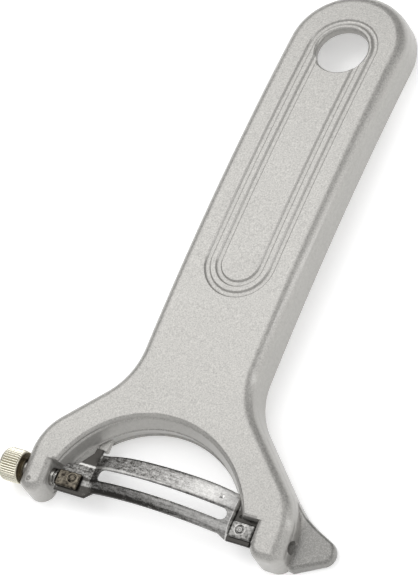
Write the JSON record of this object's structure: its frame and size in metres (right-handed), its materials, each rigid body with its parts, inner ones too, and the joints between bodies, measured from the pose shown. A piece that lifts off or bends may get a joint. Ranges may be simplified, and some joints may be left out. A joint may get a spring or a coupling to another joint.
{
  "type": "swivel vegetable peeler",
  "caption": "Y-shaped peeler: bowed hollow-backed cast handle with a hanging hole and an eye-remover horn, and a slotted swivel blade held by a knurled pivot screw.",
  "frame": {"origin": "bottom centre of the bounding box, on the surface that the peeler lies on", "axes": "+X across the peeler towards the horn, +Y along the grip towards the hanging hole, +Z out of the grooved face"},
  "size_m": [0.0824, 0.1374, 0.012],
  "materials": {
    "cast_aluminium": "fine satin cast, with a metallic sparkle",
    "nickel_brass": "bright nickel plate over brass, straight knurl",
    "blade_steel": "polished and grained stainless sheet",
    "pivot_steel": "turned and polished",
    "bush_bronze": "plain turned"
  },
  "bodies": {
    "handle": {"handle_casting": "cast_aluminium"},
    "screw": {"pivot_screw": "pivot_steel"},
    "knob": {"knurled_knob": "nickel_brass"},
    "blade": {"slotted_blade": "blade_steel", "left_end_clip": "blade_steel", "right_end_clip": "blade_steel", "left_bush": "bush_bronze", "right_pivot_pin": "pivot_steel"}
  },
  "joints": [
    {"name": "blade_swing", "type": "hinge", "parent": "handle", "child": "blade", "pos_m": [-0.0032, -0.0633, 0.00422], "axis": [1, 0, 0], "range_deg": [0, 180]},
    {"name": "screw_travel", "type": "slide", "parent": "handle", "child": "screw", "axis": [-1, 0, 0], "range_m": [0, 0.0035]},
    {"name": "screw_turn", "type": "hinge", "parent": "screw", "child": "knob", "pos_m": [-0.0387, -0.0633, 0.00422], "axis": [-1, 0, 0], "range_deg": [0, 1800]}
  ],
  "couplings": [
    {"joint": "screw_turn", "follows": "screw_travel", "rad_per_m": 8976}
  ]
}
